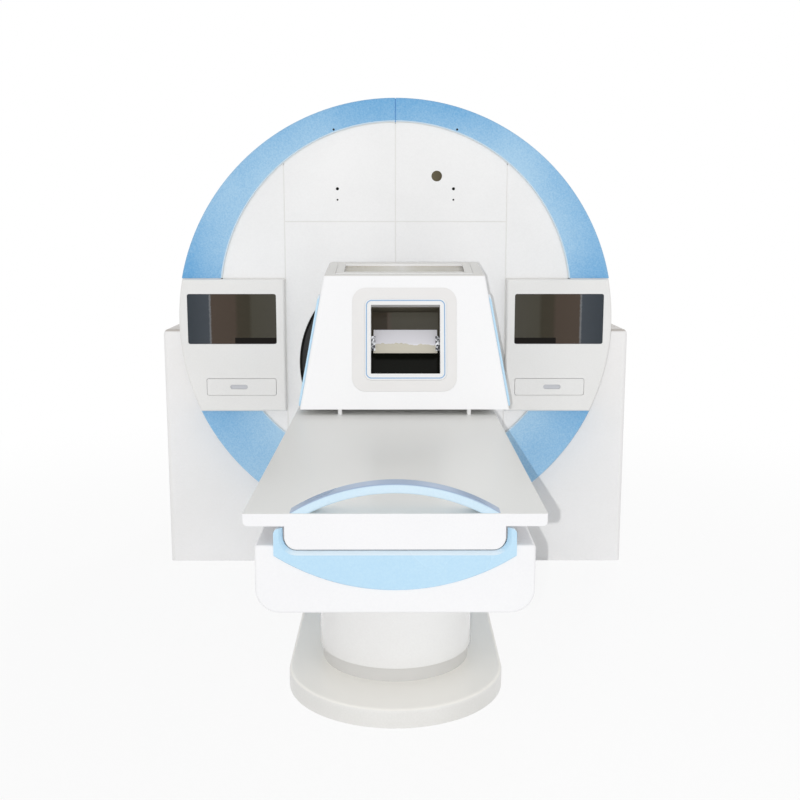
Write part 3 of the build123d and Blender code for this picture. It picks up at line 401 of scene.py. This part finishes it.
slot_finishes = {
    "white_gelcoat": white_gel_coat, "ring_blue": sky_blue_gel_coat, "trim_blue": pale_blue_gel_coat,
    "bezel_grey": bezel_satin, "screen_glass": display_glass, "dark_lining": bore_painted_shade,
    "window_glass": smoked_glass, "clear_pane": pane_acrylic, "bar_sheet": bar_paint,
    "chrome": chrome_painted_glints, "rail_steel": rail_steel, "column_paint": column_paint,
    "frame_paint": frame_paint, "coil_resin": coil_resin, "magnet_paint": magnet_paint,
}
for part in frame["record"]["subparts"]:
    solid = solids[part["node"]]
    solid.data.materials.clear()
    solid.data.materials.append(slot_finishes[part["material_slot"]])
own_finishes = {
    "table_top": table_gel_coat, "hood_shell": hood_gel_coat, "hood_top_plate": hood_gel_coat,
    "cabinet_shell": cabinet_gel_coat, "window_line": line_paint, "table_handle": handle_gel_coat,
    "bed_body": bed_gel_coat, "bed_front_cover": bed_gel_coat, "bed_rear_cover": bed_gel_coat,
    "column_shroud": column_gel_coat, "base_plate": base_gel_coat, "port_lens": port_glass,
    "window_liner": window_lining, "screen_pod_left": pod_gel_coat, "screen_pod_right": pod_gel_coat,
    "drawer_left": pod_gel_coat, "drawer_right": pod_gel_coat,
}
for node, finish in own_finishes.items():
    solids[node].data.materials[0] = finish


# Small repeated pieces


def new_tree(name, **inputs):
    """A Geometry Nodes tree with named inputs; returns it with its input and output nodes."""
    tree = bpy.data.node_groups.new(name, "GeometryNodeTree")
    tree.interface.new_socket("Layout", in_out="INPUT", socket_type="NodeSocketGeometry")
    tree.interface.new_socket("Made", in_out="OUTPUT", socket_type="NodeSocketGeometry")
    for label, kind in inputs.items():
        tree.interface.new_socket(label, in_out="INPUT", socket_type=kind)
    return tree, put(tree, "NodeGroupInput"), put(tree, "NodeGroupOutput")


def finish_tree(tree, given, made, geometry):
    """Ends a tree in a plain mesh with its finish on it."""
    plain = put(tree, "GeometryNodeRealizeInstances", {"Geometry": geometry})
    painted = put(tree, "GeometryNodeSetMaterial", {
        "Geometry": plain.outputs[0], "Material": given.outputs["Finish"],
    })
    tree.links.new(painted.outputs[0], made.inputs["Made"])


def make_piece(name, tree, body, slot, points, edges=(), outward=None, **sizes):
    """Runs a tree on points or paths, keeps the plain mesh it makes and rides it on a body."""
    layout = bpy.data.meshes.new(name + "_layout")
    layout.from_pydata(points, edges, [])
    if outward:
        directions = layout.attributes.new("outward", "FLOAT_VECTOR", "POINT")
        directions.data.foreach_set("vector", [part for vector in outward for part in vector])
    holder = bpy.data.objects.new(name + "_layout", layout)
    scene.collection.objects.link(holder)
    modifier = holder.modifiers.new("make", "NODES")
    modifier.node_group = tree
    for item in tree.interface.items_tree:
        if item.in_out == "INPUT" and item.name in sizes:
            modifier[item.identifier] = sizes[item.name]
    graph = bpy.context.evaluated_depsgraph_get()
    mesh = bpy.data.meshes.new_from_object(holder.evaluated_get(graph), depsgraph=graph)
    mesh.name = name
    bpy.data.objects.remove(holder)
    piece = bpy.data.objects.new(name, mesh)
    scene.collection.objects.link(piece)
    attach(piece, body)


# Steps round a plate's corner
corner_steps = 8


def rounded_plate(name, body, finish, middle, size, corner, bevel, depth):
    """An upright plate with round corners and a bevelled face.

    It looks to the foot end or, if depth is negative, to the back. The middle lies on its far side.
    """
    outline = []
    for quarter in range(4):
        across = (size[0] / 2 - corner) * (1 if quarter in (0, 3) else -1)
        up = (size[1] / 2 - corner) * (1 if quarter in (0, 1) else -1)
        for step in range(corner_steps + 1):
            turn = radians(90 * (quarter + step / corner_steps))
            outline.append((across, up, cos(turn), sin(turn)))
    rings = ((corner, 0), (corner, depth - bevel * depth / abs(depth)), (corner - bevel, depth))
    points = [
        (middle[0] + across + reach * out_x, middle[1] - back, middle[2] + up + reach * out_z)
        for reach, back in rings for across, up, out_x, out_z in outline
    ]
    count = len(outline)
    faces = [tuple(range(count)), tuple(range(2 * count, 3 * count))[::-1]]
    for ring in range(2):
        for at in range(count):
            nxt = (at + 1) % count
            faces.append((
                ring * count + nxt, ring * count + at, (ring + 1) * count + at, (ring + 1) * count + nxt,
            ))
    if depth > 0:
        faces = [face[::-1] for face in faces]
    mesh = bpy.data.meshes.new(name)
    mesh.from_pydata(points, [], faces)
    mesh.materials.append(finish)
    plate = bpy.data.objects.new(name, mesh)
    scene.collection.objects.link(plate)
    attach(plate, body)


# Sides of a cord and of a screw's head, and the head's crown, drive mouth and drive depth as shares of it
cord_sides, head_sides = 8, 14
crown_share, mouth_share, drive_share = 0.82, 0.55, 0.7

# Seal cord: a soft round cord that follows a path, pressed into the gap between two panels
seal_cord, given, made = new_tree("seal_cord", Radius="NodeSocketFloat", Finish="NodeSocketMaterial")
run = put(seal_cord, "GeometryNodeMeshToCurve", {"Mesh": given.outputs["Layout"]})
section = put(seal_cord, "GeometryNodeCurvePrimitiveCircle", {
    "Resolution": cord_sides, "Radius": given.outputs["Radius"],
})
cord = put(seal_cord, "GeometryNodeCurveToMesh", {
    "Curve": run.outputs[0], "Profile Curve": section.outputs[0], "Fill Caps": True,
})
finish_tree(seal_cord, given, made, cord.outputs[0])

# Screw: a low round head with a sunk drive, one at each point, turned to look outward
screw, given, made = new_tree(
    "screw", Radius="NodeSocketFloat", Height="NodeSocketFloat", Finish="NodeSocketMaterial"
)
foot = put(screw, "GeometryNodeMeshCircle", {
    "Vertices": head_sides, "Radius": given.outputs["Radius"],
}, fill_type="NGON")
head = put(screw, "GeometryNodeExtrudeMesh", {
    "Mesh": foot.outputs[0], "Offset Scale": given.outputs["Height"],
})
crown = put(screw, "GeometryNodeScaleElements", {
    "Geometry": head.outputs["Mesh"], "Selection": head.outputs["Top"], "Scale": crown_share,
})
rim = put(screw, "GeometryNodeExtrudeMesh", {
    "Mesh": crown.outputs[0], "Selection": head.outputs["Top"], "Offset Scale": 0.0,
})
mouth = put(screw, "GeometryNodeScaleElements", {
    "Geometry": rim.outputs["Mesh"], "Selection": rim.outputs["Top"], "Scale": mouth_share,
})
depth = put(screw, "ShaderNodeMath", {0: given.outputs["Height"], 1: -drive_share}, operation="MULTIPLY")
drive = put(screw, "GeometryNodeExtrudeMesh", {
    "Mesh": mouth.outputs[0], "Selection": rim.outputs["Top"], "Offset Scale": depth.outputs[0],
})
way = put(screw, "GeometryNodeInputNamedAttribute", {"Name": "outward"}, data_type="FLOAT_VECTOR")
turn = put(screw, "FunctionNodeAlignRotationToVector", {"Vector": way.outputs[0]}, axis="Z")
screws = put(screw, "GeometryNodeInstanceOnPoints", {
    "Points": given.outputs["Layout"], "Instance": drive.outputs["Mesh"], "Rotation": turn.outputs[0],
})
finish_tree(screw, given, made, screws.outputs[0])

# Louvre blade: a tilted slat behind each vent slot
louvre, given, made = new_tree(
    "louvre", Length="NodeSocketFloat", Depth="NodeSocketFloat", Gauge="NodeSocketFloat",
    Tilt="NodeSocketFloat", Finish="NodeSocketMaterial",
)
size = put(louvre, "ShaderNodeCombineXYZ", {
    "X": given.outputs["Length"], "Y": given.outputs["Depth"], "Z": given.outputs["Gauge"],
})
slat = put(louvre, "GeometryNodeMeshCube", {"Size": size.outputs[0]})
lean = put(louvre, "ShaderNodeCombineXYZ", {"X": given.outputs["Tilt"]})
blades = put(louvre, "GeometryNodeInstanceOnPoints", {
    "Points": given.outputs["Layout"], "Instance": slat.outputs[0], "Rotation": lean.outputs[0],
})
finish_tree(louvre, given, made, blades.outputs[0])

# Seams: half their width, the cord's radius, how deep its middle lies in each face, and how far it stops
# short of a seam's end and of the ring's edges
half_seam, seal_radius = 0.0015, 0.0021
cord_sink, ring_cord_sink, back_cord_sink = 0.0022, 0.004, 0.0024
end_gap, rim_gap = 0.004, 0.003
# The ring's inner and outer edges at the seams above and below the pods, and the top of the back's seam
edges_above_pods, edges_below_pods = (0.7326, 0.8985), (0.5717, 0.8335)
back_seam_top = 0.246
# Stretches of the ring's inner edge above and below the pods, in degrees from +X, and steps along each
ring_stretches, stretch_steps = ((7.6, 172.4), (219.4, 320.6)), 72

# Places taken from the solids
ring_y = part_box("ring_upper_left")[0][1]
panel_edge_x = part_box("panel_upper_right")[1][0] + half_seam
split_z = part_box("panel_upper_left")[0][2] - half_seam
panel_top_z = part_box("panel_upper_left")[1][2]
panel_low_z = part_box("panel_corner_left")[0][2]
side_top_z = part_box("panel_side_left")[1][2]
bore_top_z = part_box("bore_liner")[1][2]
pod_low, pod_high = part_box("screen_pod_right")
disc_top_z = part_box("ring_upper_left")[1][2]
cord_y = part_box("panel_upper_left")[0][1] + cord_sink
ring_cord_y = ring_y + ring_cord_sink
back_cord_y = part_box("back_panel_left")[1][1] - back_cord_sink

seam_paths = [
    [(0, cord_y, bore_top_z + end_gap), (0, cord_y, panel_top_z - end_gap)],
    [(-panel_edge_x, cord_y, split_z), (panel_edge_x, cord_y, split_z)],
]
pod_seams = (
    (pod_high[2] + half_seam, *edges_above_pods),
    (pod_low[2] - half_seam, *edges_below_pods),
)
for side in (-1, 1):
    x = side * panel_edge_x
    seam_paths.append([(x, cord_y, panel_low_z + end_gap), (x, cord_y, side_top_z - end_gap)])
    for height, inner, outer in pod_seams:
        seam_paths.append([(x, cord_y, height), (side * (inner - rim_gap), cord_y, height)])
        seam_paths.append([
            (side * (inner + end_gap), ring_cord_y, height), (side * outer, ring_cord_y, height),
        ])
seam_paths.append([(0, back_cord_y, end_gap), (0, back_cord_y, back_seam_top)])
# Round the ring's inner edge
cord_radius = ring_radius - half_seam
for start, stop in ring_stretches:
    turns = [radians(start + (stop - start) * step / stretch_steps) for step in range(stretch_steps + 1)]
    seam_paths.append([(cord_radius * cos(turn), cord_y, ring_z + cord_radius * sin(turn)) for turn in turns])
ends, links = [], []
for path in seam_paths:
    links += [(len(ends) + at, len(ends) + at + 1) for at in range(len(path) - 1)]
    ends += path
make_piece(
    "panel_seals", seal_cord, "gantry", "bezel_grey", ends, links, Radius=seal_radius, Finish=seal_rubber,
)
# In the joint at the ring's top
ring_seam = [(0, ring_cord_y, panel_top_z), (0, ring_cord_y, disc_top_z - rim_gap)]
make_piece(
    "ring_seal", seal_cord, "gantry", "ring_blue", ring_seam, [(0, 1)],
    Radius=seal_radius, Finish=blue_seal_rubber,
)

# Two black screws in the ring's upper half
ring_screw_x, ring_screw_z = 0.2545, 1.892
ring_screw_places = [(side * ring_screw_x, ring_y, ring_screw_z) for side in (-1, 1)]
make_piece(
    "ring_screws", screw, "gantry", "dark_lining", ring_screw_places,
    outward=[(0, -1, 0)] * len(ring_screw_places), Radius=0.0045, Height=0.0015, Finish=black_plastic,
)

# Louvres in the two back panels and the screws round their edges
back_low, back_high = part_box("back_panel_right")
vent_x, vent_z, vent_pitch, vent_rows = 0.790, 0.225, 0.034, range(-4, 5)
blade_sink, edge_screw_inset = 0.011, 0.022
edge_screw_heights = (0.035, 0.36, 0.68, 1.01)
foot_screw_z, foot_screw_distances = 0.035, (0.05, 0.30, 0.55, 0.80)
blade_y = back_low[1] - blade_sink
edge_screw_x = back_high[0] - edge_screw_inset
blade_places, screw_places = [], []
for side in (-1, 1):
    blade_places += [(side * vent_x, blade_y, vent_z + row * vent_pitch) for row in vent_rows]
    screw_places += [(side * edge_screw_x, back_high[1], height) for height in edge_screw_heights]
    screw_places += [(side * across, back_high[1], foot_screw_z) for across in foot_screw_distances]
make_piece(
    "vent_louvres", louvre, "gantry", "frame_paint", blade_places,
    Length=0.31, Depth=0.022, Gauge=0.0015, Tilt=radians(-40), Finish=frame_paint,
)
make_piece(
    "back_panel_screws", screw, "gantry", "rail_steel", screw_places, outward=[(0, 1, 0)] * len(screw_places),
    Radius=0.007, Height=0.003, Finish=rail_steel,
)

# Screws in the seats round the rear cover
rear_screw_circle, rear_screws, rear_seat = 0.840, 16, 0.004
rear_seat_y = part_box("rear_cover")[1][1] - rear_seat
turns = [2 * pi * (at + 0.5) / rear_screws for at in range(rear_screws)]
rear_places = [
    (rear_screw_circle * cos(turn), rear_seat_y, hub_z + rear_screw_circle * sin(turn)) for turn in turns
]
make_piece(
    "rear_cover_screws", screw, "gantry", "rail_steel", rear_places, outward=[(0, 1, 0)] * rear_screws,
    Radius=0.0075, Height=0.0032, Finish=rail_steel,
)

# Quarter-turn latches in the seats of the side doors
latch_y, door_middle_z, latch_rise, latch_seat = 0.686, 0.5265, 0.28, 0.005
latch_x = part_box("cabinet_shell")[1][0] - latch_seat
latch_places = [
    (side * latch_x, latch_y, door_middle_z + up * latch_rise) for side in (-1, 1) for up in (-1, 1)
]
make_piece(
    "door_latches", screw, "gantry", "chrome", latch_places,
    outward=[(place[0], 0, 0) for place in latch_places], Radius=0.0135, Height=0.004, Finish=rail_steel,
)

# Connector plate low on the back, with two rows of round sockets
plate_x, plate_z, plate_width, plate_height = 0.41, 0.18, 0.23, 0.15
plate_gauge, plate_corner, plate_bevel, plate_screw_inset = 0.004, 0.012, 0.001, 0.012
socket_pitch, socket_rise, socket_columns = 0.048, 0.03, (-1.5, -0.5, 0.5, 1.5)
plate_face_y = back_high[1] + plate_gauge
rounded_plate(
    "connector_plate", "gantry", frame_paint, (plate_x, back_high[1], plate_z),
    (plate_width, plate_height), plate_corner, plate_bevel, depth=-plate_gauge,
)
socket_places = [
    (plate_x + column * socket_pitch, plate_face_y, plate_z + up * socket_rise)
    for up in (-1, 1) for column in socket_columns
]
make_piece(
    "connector_sockets", screw, "gantry", "dark_lining", socket_places,
    outward=[(0, 1, 0)] * len(socket_places), Radius=0.016, Height=0.012, Finish=black_plastic,
)
plate_screw_x = plate_width / 2 - plate_screw_inset
plate_screw_z = plate_height / 2 - plate_screw_inset
plate_screw_places = [
    (plate_x + side * plate_screw_x, plate_face_y, plate_z + up * plate_screw_z)
    for side in (-1, 1) for up in (-1, 1)
]
make_piece(
    "connector_plate_screws", screw, "gantry", "rail_steel", plate_screw_places,
    outward=[(0, 1, 0)] * len(plate_screw_places), Radius=0.005, Height=0.002, Finish=rail_steel,
)

# Grey inserts of painted shade that line the finger pulls of the drawers, with half-round ends
pull_x, pull_z, pull_recess = 0.666, 0.824, 0.006
pull_width, pull_height, pull_bevel, pull_gauge = 0.0736, 0.0186, 0.0008, 0.0022
for side, hand in ((-1, "left"), (1, "right")):
    pull_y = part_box(f"drawer_{hand}")[0][1] + pull_recess
    rounded_plate(
        f"pull_shade_insert_{hand}", f"drawer_{hand}", pull_painted_shade, (side * pull_x, pull_y, pull_z),
        (pull_width, pull_height), pull_height / 2, pull_bevel, depth=pull_gauge,
    )


# Room, light and camera


def show_white(tree, lit, share):
    """Mixes a plain white glow over a lit shader for the rays that see the background."""
    path = put(tree, "ShaderNodeLightPath")
    seen = put(tree, "ShaderNodeMath", {
        0: path.outputs["Is Camera Ray"], 1: path.outputs["Is Glossy Ray"],
    }, operation="MAXIMUM")
    seen = put(tree, "ShaderNodeMath", {
        0: seen.outputs[0], 1: path.outputs["Is Transmission Ray"],
    }, operation="MAXIMUM")
    part = put(tree, "ShaderNodeMath", {0: seen.outputs[0], 1: share}, operation="MULTIPLY")
    white = put(tree, "ShaderNodeEmission", {"Color": (1, 1, 1, 1), "Strength": 1.0})
    return put(tree, "ShaderNodeMixShader", {0: part.outputs[0], 1: lit.outputs[0], 2: white.outputs[0]})


# A floor that keeps a soft shadow near the machine and goes over to plain white further out
floor_reach = 30
shadow_within, white_beyond, near_white_share = 1.5, 4.5, 0.88
floor_corners = [
    (across * floor_reach, along * floor_reach, 0) for across, along in ((-1, -1), (1, -1), (1, 1), (-1, 1))
]
floor_mesh = bpy.data.meshes.new("studio_floor")
floor_mesh.from_pydata(floor_corners, [], [(0, 1, 2, 3)])
floor = bpy.data.objects.new("studio_floor", floor_mesh)
scene.collection.objects.link(floor)
floor_white = bpy.data.materials.new("floor_white")
floor_white.use_nodes = True
tree = floor_white.node_tree
tree.nodes.clear()
spot = put(tree, "ShaderNodeTexCoord").outputs["Object"]
away = put(tree, "ShaderNodeVectorMath", {0: spot}, operation="LENGTH")
fade = put(tree, "ShaderNodeMapRange", {
    "Value": away.outputs["Value"], "From Min": shadow_within, "From Max": white_beyond,
    "To Min": near_white_share, "To Max": 1.0,
}, interpolation_type="SMOOTHSTEP")
lit = put(tree, "ShaderNodeBsdfDiffuse", {"Color": linear("#ececec")})
mixed = show_white(tree, lit, fade.outputs[0])
put(tree, "ShaderNodeOutputMaterial", {"Surface": mixed.outputs[0]})
floor_mesh.materials.append(floor_white)

# An even white room
world = bpy.data.worlds.new("studio")
scene.world = world
world.use_nodes = True
tree = world.node_tree
tree.nodes.clear()
room = put(tree, "ShaderNodeBackground", {"Color": (1, 1, 1, 1), "Strength": 0.70})
mixed = show_white(tree, room, 1.0)
put(tree, "ShaderNodeOutputWorld", {"Surface": mixed.outputs[0]})

# A small lamp in front, whose light doesn't weaken along the machine's length
lamp = bpy.data.lights.new("front_light", "POINT")
lamp.energy, lamp.shadow_soft_size = 11.3, 0.007
lamp.use_nodes = True
tree = lamp.node_tree
reach = put(tree, "ShaderNodeLightFalloff", {"Strength": 1.0})
tree.links.new(reach.outputs["Constant"], tree.nodes["Emission"].inputs["Strength"])
front_light = bpy.data.objects.new("front_light", lamp)
front_light.location = (-0.061, -3.993, 1.483)
front_light.visible_glossy = False
scene.collection.objects.link(front_light)
# A broad weak one from behind, which shapes the drum and the cabinet's back
lamp = bpy.data.lights.new("back_light", "SUN")
lamp.energy, lamp.angle = 0.5, radians(12)
back_light = bpy.data.objects.new("back_light", lamp)
back_light.rotation_euler = (radians(60), 0, radians(161))
back_light.visible_glossy = False
scene.collection.objects.link(back_light)

# The camera stands past the foot end at eye height and looks a little down
lens = bpy.data.cameras.new("camera")
lens.sensor_fit, lens.sensor_width, lens.lens = "HORIZONTAL", 36.0, 46.8
lens.clip_end = 200
camera = bpy.data.objects.new("camera", lens)
camera.location = (0.003, -3.993, 1.5)
camera.rotation_euler = (radians(80.5), 0, radians(-0.207))
scene.collection.objects.link(camera)
scene.camera = camera
scene.view_settings.view_transform = "Standard"
